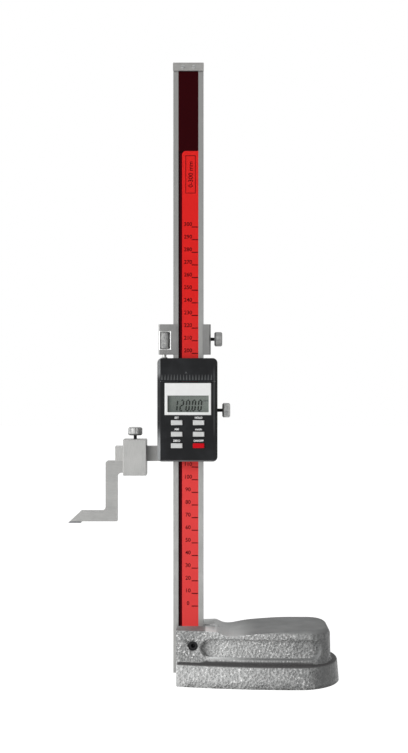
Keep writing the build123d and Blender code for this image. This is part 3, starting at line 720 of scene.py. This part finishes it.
def upper_beam(x, y, z):
    """Painted shade: the beam is darker the higher it goes."""
    return z.rise(100.0, 420.0)


class GAUGE_OT_beam(GaugePiece, bpy.types.Operator):
    """Finish the ground beam, its end stop and the measuring grid"""

    bl_idname = "gauge.beam"
    bl_label = "Beam and end stop"

    def make(self, scene):
        colour = tuple(part * 0.95 for part in scene.gauge_finish.steel_colour)
        dress(ground_steel("ground_beam", colour, "z", painted_shade=upper_beam), "beam")
        dress(ground_steel("end_stop_steel", (160, 159, 157), "x", 0.42), "stop_plate")
        dress(laminate(), "scale_grid")
        smooth_piece("stop_screws", bright_plating(), "root", TURNED_ANGLE)


def row_tree(name, sizes, shape):
    """Geometry nodes for a row of equal pieces, and the identifiers of their inputs.

    sizes are the (name, socket type) pairs of one piece, and shape(graph, ...) makes it.
    """
    tree = bpy.data.node_groups.new(name, "GeometryNodeTree")
    tree.interface.new_socket("Geometry", in_out="OUTPUT", socket_type="NodeSocketGeometry")
    inputs = [("Count", "NodeSocketInt"), ("First", "NodeSocketVector"),
              ("Step", "NodeSocketVector"), ("Material", "NodeSocketMaterial")] + sizes
    names = {label: tree.interface.new_socket(label, in_out="INPUT",
                                              socket_type=kind).identifier
             for label, kind in inputs}
    graph = Graph(tree)
    count, first, step, material, *measures = (
        graph.node("NodeGroupInput", output=index) for index in range(len(inputs)))
    row = graph.node("GeometryNodeMeshLine", {},
                     {"Count": count, "Start Location": first, "Offset": step})
    copies = graph.node("GeometryNodeInstanceOnPoints", {},
                        {"Points": row, "Instance": shape(graph, *measures)})
    whole = graph.node("GeometryNodeRealizeInstances", {}, {0: copies})
    dressed = graph.node("GeometryNodeSetMaterial", {},
                         {"Geometry": whole, "Material": material})
    graph.node("NodeGroupOutput", {}, {0: dressed})
    return tree, names


def tick_shape(graph, size):
    """A flat bar."""
    return graph.node("GeometryNodeMeshCube", {}, {"Size": size})


def rib_shape(graph, width, height, stand):
    """A wedge that hangs from the row and tapers to a point."""
    wedge = graph.node("GeometryNodeMeshCone", {"fill_type": "TRIANGLE_FAN"},
                       {"Vertices": 4, "Side Segments": 1, "Radius Top": width * 0.12,
                        "Radius Bottom": width * 0.5, "Depth": height})
    flat = graph.node("ShaderNodeCombineXYZ", {}, {0: 1.0, 1: stand * 2.0 / width, 2: 1.0})
    lift = graph.node("ShaderNodeCombineXYZ", {}, {2: height * -0.5})
    return graph.node("GeometryNodeTransform", {},
                      {"Geometry": wedge, "Translation": lift, "Scale": flat})


def grown_mesh(tree, values):
    """The plain mesh that a node tree makes from values, given by socket identifier."""
    holder = bpy.data.objects.new("growing", bpy.data.meshes.new("growing"))
    modifier = holder.modifiers.new("growing", "NODES")
    modifier.node_group = tree
    for identifier, value in values.items():
        modifier[identifier] = value
    bpy.context.scene.collection.objects.link(holder)
    graph = bpy.context.evaluated_depsgraph_get()
    mesh = bpy.data.meshes.new_from_object(holder.evaluated_get(graph))
    holder.modifiers.remove(modifier)
    bpy.data.objects.remove(holder)
    return mesh


# The frame with the range, near the top of the label.
RANGE_LEFT, RANGE_RIGHT = -2.3 * MM, 5.7 * MM
RANGE_LOW, RANGE_HIGH = 384 * MM, 414 * MM
RANGE_LINE = 0.45 * MM
RANGE_WORDS_X = 3.45 * MM
RANGE_WORDS_HEIGHT = 3.5 * MM
NUMBER_X = -0.3 * MM
NUMBER_LIFT = 0.9 * MM


class GAUGE_OT_printed_scale(GaugePiece, bpy.types.Operator):
    """Print the label of the beam: red field, ticks, numbers and the range in its frame"""

    bl_idname = "gauge.printed_scale"
    bl_label = "Printed scale"

    def make(self, scene):
        settings = scene.gauge_scale
        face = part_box("scale_label")[0][1]
        depth = settings.print_depth
        middle = face - depth / 2
        dress(printed_scale(settings), "scale_label")
        dark_ink = ink("scale_ink", (48, 0, 6))

        tree, names = row_tree("scale_ticks", [("Size", "NodeSocketVector")], tick_shape)
        width = settings.tick_right - settings.tick_left
        centre = (settings.tick_left + settings.tick_right) / 2
        values = {names["Count"]: settings.count,
                  names["First"]: (centre, middle, settings.zero_height),
                  names["Step"]: (0.0, 0.0, settings.pitch),
                  names["Size"]: (width, depth, settings.tick_width),
                  names["Material"]: dark_ink}
        add_piece("scale_ticks", grown_mesh(tree, values), dark_ink, "root")

        numbers = Collector()
        for index in range(settings.count):
            value = round(index * settings.pitch / MM)
            height = settings.zero_height + index * settings.pitch + NUMBER_LIFT
            numbers.add(letters(str(value), settings.number_height, depth, 0.06 * MM),
                        face_forward(NUMBER_X, middle, height))
        add_piece("scale_numbers", numbers.mesh("scale_numbers"), dark_ink, "root")

        left, right, low, high = RANGE_LEFT, RANGE_RIGHT, RANGE_LOW, RANGE_HIGH
        inner_low, inner_high = low + RANGE_LINE, high - RANGE_LINE
        frame_box = Collector()
        for corners in ((left, low, right, inner_low), (left, inner_high, right, high),
                        (left, inner_low, left + RANGE_LINE, inner_high),
                        (right - RANGE_LINE, inner_low, right, inner_high)):
            frame_box.plate(rectangle(*corners), face - depth, face)
        frame_box.add(letters("0-300 mm", RANGE_WORDS_HEIGHT, depth, 0.05 * MM),
                      face_forward(RANGE_WORDS_X, middle, (low + high) / 2, 90))
        add_piece("scale_range", frame_box.mesh("scale_range"), dark_ink, "root")


def handled_arm(x, y, z):
    """Painted shadow: the slider's arm is darker between the housing and the scriber's clamp."""
    return x.rise(-50.0, -42.0) * x.fall(-33.0, -18.0)


class GAUGE_OT_sliders(GaugePiece, bpy.types.Operator):
    """Finish the steel sliders, their gibs, and the rod and nut of the fine adjustment"""

    bl_idname = "gauge.sliders"
    bl_label = "Steel sliders"

    def make(self, scene):
        colour = tuple(scene.gauge_finish.steel_colour)
        dress(ground_steel("slider_steel", colour, "z", 0.38, painted_shade=handled_arm,
                           shade_share=0.28), "slider_frame")
        dress(milled_clamp((138, 138, 137)), "fine_clamp")
        dress(moulding("gib_brass", (190, 160, 92), 0.3), "slider_gib", "fine_gib")
        plating = bright_plating()
        smooth_piece("fine_rod", plating, "head", TURNED_ANGLE)
        smooth_piece("fine_nut", matt_plating(), "fine_nut", TURNED_ANGLE)
        smooth_piece("housing_screws", plating, "head", TURNED_ANGLE)
        smooth_piece("gib_screws", black_oxide(), "head", TURNED_ANGLE)


class GAUGE_OT_thumb_screws(GaugePiece, bpy.types.Operator):
    """Finish the three grooved thumb screws"""

    bl_idname = "gauge.thumb_screws"
    bl_label = "Thumb screws"

    def make(self, scene):
        # The last number of each is painted brightness: light and shade make one knob lighter and
        # another darker than the plating itself.
        for node, axis, painted_brightness in (("head_lock_screw", "x", 1.26),
                                  ("fine_lock_screw", "x", 0.93),
                                  ("scriber_clamp_screw", "z", 1.0)):
            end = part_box(node)[1]["xyz".index(axis)]
            plating = screw_plating(node + "_plating", axis, (end - KNOB_LENGTH) / MM, painted_brightness)
            smooth_piece(node, plating, node, TURNED_ANGLE)


class GAUGE_OT_scriber(GaugePiece, bpy.types.Operator):
    """Finish the scriber, its carbide tip and its clamp"""

    bl_idname = "gauge.scriber"
    bl_label = "Scriber and clamp"

    def make(self, scene):
        steel = scene.gauge_finish.steel_colour
        clamp, scriber = (tuple(part * share for part in steel) for share in (0.97, 0.91))
        dress(ground_steel("clamp_steel", clamp, "z", 0.45), "scriber_clamp")
        dress(ground_steel("scriber_steel", scriber, "x", 0.45), "scriber")
        dress(ground_steel("ground_carbide", (112, 113, 116), "x", 0.3), "carbide_tip")


# The ribs and the arrow on the battery cover.
RIB_COUNT = 17
RIB_LEFT, RIB_TOP = -20.3 * MM, 238.4 * MM
RIB_PITCH = 2.4 * MM
RIB_WIDTH, RIB_HEIGHT, RIB_STAND = 1.3 * MM, 4.2 * MM, 0.18 * MM
ARROW_X = -1.6 * MM
ARROW_LOW, ARROW_HIGH = 241.4 * MM, 243.0 * MM
ARROW_HALF = 1.0 * MM
ARROW_STAND, ARROW_ROOT = 0.15 * MM, 0.1 * MM


class GAUGE_OT_housing(GaugePiece, bpy.types.Operator):
    """Finish the moulded housing and its battery cover, with the arrow that shows how it slides"""

    bl_idname = "gauge.housing"
    bl_label = "Housing and cover"

    def make(self, scene):
        dress(moulded_black(scene.gauge_finish), "head_housing", "battery_cover")
        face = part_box("battery_cover")[0][1]
        # The ribs and arrow are a paler grey than the black cover.
        grey_rib_moulding = moulding("grey_ribs", (82, 84, 85), 0.5, 0.1)
        measures = [(name, "NodeSocketFloat") for name in ("Width", "Height", "Stand")]
        tree, names = row_tree("cover_ribs", measures, rib_shape)
        values = {names["Count"]: RIB_COUNT, names["First"]: (RIB_LEFT, face, RIB_TOP),
                  names["Step"]: (RIB_PITCH, 0.0, 0.0), names["Width"]: RIB_WIDTH,
                  names["Height"]: RIB_HEIGHT, names["Stand"]: RIB_STAND,
                  names["Material"]: grey_rib_moulding}
        add_piece("cover_ribs", grown_mesh(tree, values), grey_rib_moulding, "battery_cover")
        arrow = Collector()
        arrow.plate(((ARROW_X - ARROW_HALF, ARROW_LOW), (ARROW_X + ARROW_HALF, ARROW_LOW),
                     (ARROW_X, ARROW_HIGH)), face - ARROW_STAND, face + ARROW_ROOT)
        add_piece("cover_arrow", arrow.mesh("cover_arrow"), grey_rib_moulding, "battery_cover")


SEGMENTS = {"0": "abcdef", "1": "bc", "2": "abdeg", "3": "abcdg", "4": "bcfg", "5": "acdfg",
            "6": "acdefg", "7": "abc", "8": "abcdefg", "9": "abcdfg"}
DIGITS_RIGHT, DIGITS_FOOT = 10.4 * MM, 211.7 * MM
SEGMENT_LINE = 0.125        # as a share of the digits' height
SEGMENT_GAP = 0.12          # as a share of the line
POINT_SIZE = 0.8            # as a share of the line
POINT_PLACE = 0.35          # as a share of the space between two digits
UNIT_X, UNIT_Z, UNIT_HEIGHT = 13.8 * MM, 219.4 * MM, 1.9 * MM


def digit_bars(character, width, height, line):
    """The outlines of a seven-segment digit, from its lower left corner."""
    gap = line * SEGMENT_GAP
    half = height / 2
    tip = line / 2
    across = {"a": height - tip, "g": half, "d": tip}
    upright = {"f": (tip, half, height - tip), "b": (width - tip, half, height - tip),
               "e": (tip, tip, half), "c": (width - tip, tip, half)}
    bars = []
    for name in SEGMENTS.get(character, ""):
        if name in across:
            z = across[name]
            low, high = tip + gap, width - tip - gap
            bars.append([(low, z), (low + tip, z - tip), (high - tip, z - tip), (high, z),
                         (high - tip, z + tip), (low + tip, z + tip)])
        else:
            x, low, high = upright[name]
            low, high = low + gap, high - gap
            bars.append([(x, low), (x + tip, low + tip), (x + tip, high - tip), (x, high),
                         (x - tip, high - tip), (x - tip, low + tip)])
    return bars


class GAUGE_OT_display(GaugePiece, bpy.types.Operator):
    """Finish the bezel and display, and show the reading"""

    bl_idname = "gauge.display"
    bl_label = "Display"

    def make(self, scene):
        settings = scene.gauge_display
        dress(moulding("white_bezel", (240, 241, 240), 0.3), "lcd_bezel")
        dress(clear_window(), "lcd_window")
        dress(display_glass(), "lcd_panel")
        dress(soft_rubber(), "lcd_contact_strips")
        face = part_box("lcd_panel")[0][1]
        front = face - INK_THICKNESS
        line = settings.digit_height * SEGMENT_LINE
        digits = [character for character in settings.reading if character != "."]
        point_after = settings.reading.find(".") - 1
        point = line * POINT_SIZE
        space = settings.digit_pitch - settings.digit_width
        shown = Collector()
        for index, character in enumerate(digits):
            following = len(digits) - 1 - index
            left = DIGITS_RIGHT - settings.digit_width - following * settings.digit_pitch
            for bar in digit_bars(character, settings.digit_width, settings.digit_height,
                                  line):
                shown.plate([(left + x + settings.slant * z, DIGITS_FOOT + z)
                             for x, z in bar], front, face)
            if index == point_after:
                x = left + settings.digit_width + space * POINT_PLACE
                shown.plate(rectangle(x, DIGITS_FOOT, x + point, DIGITS_FOOT + point),
                            front, face)
        shown.add(letters("mm", UNIT_HEIGHT, INK_THICKNESS),
                  face_forward(UNIT_X, face - INK_THICKNESS / 2, UNIT_Z))
        add_piece("display_reading", shown.mesh("display_reading"),
                  ink("segment_ink", (30, 33, 30), 0.5), "head")


LEGENDS = {"top_left_button": "SET", "top_right_button": "HOLD",
           "middle_left_button": "ABS", "middle_right_button": "mm/in",
           "bottom_left_button": "ZERO", "bottom_right_button": "ON/OFF"}
LEGEND_HEIGHT = 1.5 * MM
LEGEND_LIFT = 3.1 * MM


class GAUGE_OT_keys(GaugePiece, bpy.types.Operator):
    """Finish the six keys and print the legend above each"""

    bl_idname = "gauge.keys"
    bl_label = "Keys and legends"

    def make(self, scene):
        grey = moulding("grey_key_moulding", (212, 213, 212), 0.3), "grey_key"
        red = moulding("red_key_moulding", (204, 16, 30), 0.3, 0.1), "red_key"
        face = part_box("head_housing")[0][1]
        printed = Collector()
        for node, words in LEGENDS.items():
            material, slot = red if node == "bottom_right_button" else grey
            smooth_piece(node, material, node, KEY_ANGLE)
            low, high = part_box(node)
            x, z = (low[0] + high[0]) / 2, (low[2] + high[2]) / 2
            printed.add(letters(words, LEGEND_HEIGHT, INK_THICKNESS, 0.07 * MM),
                        face_forward(x, face - INK_THICKNESS / 2, z + LEGEND_LIFT))
        add_piece("key_legends", printed.mesh("key_legends"),
                  ink("legend_ink", (235, 236, 235)), "head")


class GAUGE_OT_electronics(GaugePiece, bpy.types.Operator):
    """Finish what is inside the housing: boards, connector, key mat, cell and its contact"""

    bl_idname = "gauge.electronics"
    bl_label = "Electronics"

    def make(self, scene):
        dress(laminate(), "main_board", "sensor_board")
        dress(moulding("connector_moulding", (222, 220, 210), 0.4), "board_connector")
        dress(soft_rubber(), "keypad_mat")
        plating = bright_plating()
        dress(plating, "cell_contact")
        smooth_piece("button_cell", plating, "head", TURNED_ANGLE)


# ---------------------------------------------------------------- stage

WORLD_LIGHT = 0.31
FLOOR_GLOW = 1.36
FLOOR_GLOW_SHARE = 0.75
LIGHT_TARGET = (0.01, 0.0, 0.22)
KEY_PLACE, KEY_SIZE = (-1.3, -0.85, 0.42), (1.0, 1.1)
FILL_PLACE, FILL_SIZE = (1.1, -1.1, 0.4), (0.8, 1.0)
CAMERA_X = 0.01235
CAMERA_LENS, CAMERA_SENSOR = 48.14, 36.0


def floor_finish():
    """A pale floor that shows white to the eye and in reflections, and keeps its shadows."""
    finish = Finish("pale_floor")
    matt = finish.node("ShaderNodeBsdfDiffuse", {}, {"Color": (0.86, 0.86, 0.86, 1.0)})
    white = finish.node("ShaderNodeEmission", {}, {"Color": WHITE, "Strength": FLOOR_GLOW})
    both = finish.node("ShaderNodeMixShader", {},
                       {0: finish.seen() * FLOOR_GLOW_SHARE, 1: matt, 2: white})
    finish.node("ShaderNodeOutputMaterial", {}, {"Surface": both})
    return finish.material


def white_surroundings():
    """A world that is white to the eye and lights the object only softly."""
    world = bpy.data.worlds.new("white_surroundings")
    world.use_nodes = True
    graph = Graph(world.node_tree)
    world.node_tree.nodes.clear()
    light, white = (graph.node("ShaderNodeBackground", {}, {"Color": WHITE, "Strength": power})
                    for power in (WORLD_LIGHT, 1.0))
    both = graph.node("ShaderNodeMixShader", {}, {0: graph.seen(), 1: light, 2: white})
    graph.node("ShaderNodeOutputWorld", {}, {"Surface": both})
    return world


def soft_light(name, place, size, power):
    """A large area light aimed at the gauge."""
    lamp = bpy.data.lights.new(name, "AREA")
    lamp.shape = "RECTANGLE"
    lamp.size, lamp.size_y = size
    lamp.energy = power
    holder = bpy.data.objects.new(name, lamp)
    holder.location = place
    aim = Vector(LIGHT_TARGET) - Vector(place)
    holder.rotation_euler = aim.to_track_quat("-Z", "Y").to_euler()
    bpy.context.scene.collection.objects.link(holder)


class GAUGE_OT_stage(GaugePiece, bpy.types.Operator):
    """Set up the floor, the soft lights, the white surroundings and the camera"""

    bl_idname = "gauge.stage"
    bl_label = "Stage"

    def make(self, scene):
        settings = scene.gauge_stage
        half = settings.floor_size / 2
        mesh = bpy.data.meshes.new("floor")
        mesh.from_pydata([(-half, -half, 0), (half, -half, 0), (half, half, 0),
                          (-half, half, 0)], [], [(0, 1, 2, 3)])
        mesh.materials.append(floor_finish())
        floor = bpy.data.objects.new("floor", mesh)
        scene.collection.objects.link(floor)

        soft_light("key_light", KEY_PLACE, KEY_SIZE, settings.key_power)
        soft_light("fill_light", FILL_PLACE, FILL_SIZE, settings.fill_power)
        scene.world = white_surroundings()

        camera = bpy.data.objects.new("camera", bpy.data.cameras.new("camera"))
        camera.data.sensor_width = CAMERA_SENSOR
        camera.data.lens = CAMERA_LENS
        camera.data.clip_start = 0.01
        camera.location = (CAMERA_X, -settings.camera_distance, settings.camera_height)
        camera.rotation_euler = (math.radians(90), 0.0, 0.0)
        scene.collection.objects.link(camera)
        scene.camera = camera
        scene.view_settings.view_transform = "Standard"


OPERATORS = (GAUGE_OT_base_casting, GAUGE_OT_beam, GAUGE_OT_printed_scale, GAUGE_OT_sliders,
             GAUGE_OT_thumb_screws, GAUGE_OT_scriber, GAUGE_OT_housing, GAUGE_OT_display,
             GAUGE_OT_keys, GAUGE_OT_electronics, GAUGE_OT_stage)
SETTINGS = {"gauge_finish": GaugeFinishSettings, "gauge_scale": GaugeScaleSettings,
            "gauge_display": GaugeDisplaySettings, "gauge_stage": GaugeStageSettings}


class GAUGE_PT_panel(bpy.types.Panel):
    """Lists the pieces and settings of the gauge"""

    bl_label = "Height gauge"
    bl_idname = "GAUGE_PT_panel"
    bl_space_type = "VIEW_3D"
    bl_region_type = "UI"
    bl_category = "Height gauge"

    def draw(self, context):
        for name, kind in SETTINGS.items():
            box = self.layout.box()
            for setting in kind.__annotations__:
                box.prop(getattr(context.scene, name), setting)
        for operator in OPERATORS:
            self.layout.operator(operator.bl_idname)


CLASSES = tuple(SETTINGS.values()) + OPERATORS + (GAUGE_PT_panel,)


def register():
    for item in CLASSES:
        bpy.utils.register_class(item)
    for name, kind in SETTINGS.items():
        setattr(bpy.types.Scene, name, PointerProperty(type=kind))


def unregister():
    for name in SETTINGS:
        delattr(bpy.types.Scene, name)
    for item in reversed(CLASSES):
        bpy.utils.unregister_class(item)


def main():
    register()
    for operator in OPERATORS:
        group, name = operator.bl_idname.split(".")
        getattr(getattr(bpy.ops, group), name)()


if __name__ == "__main__":
    main()
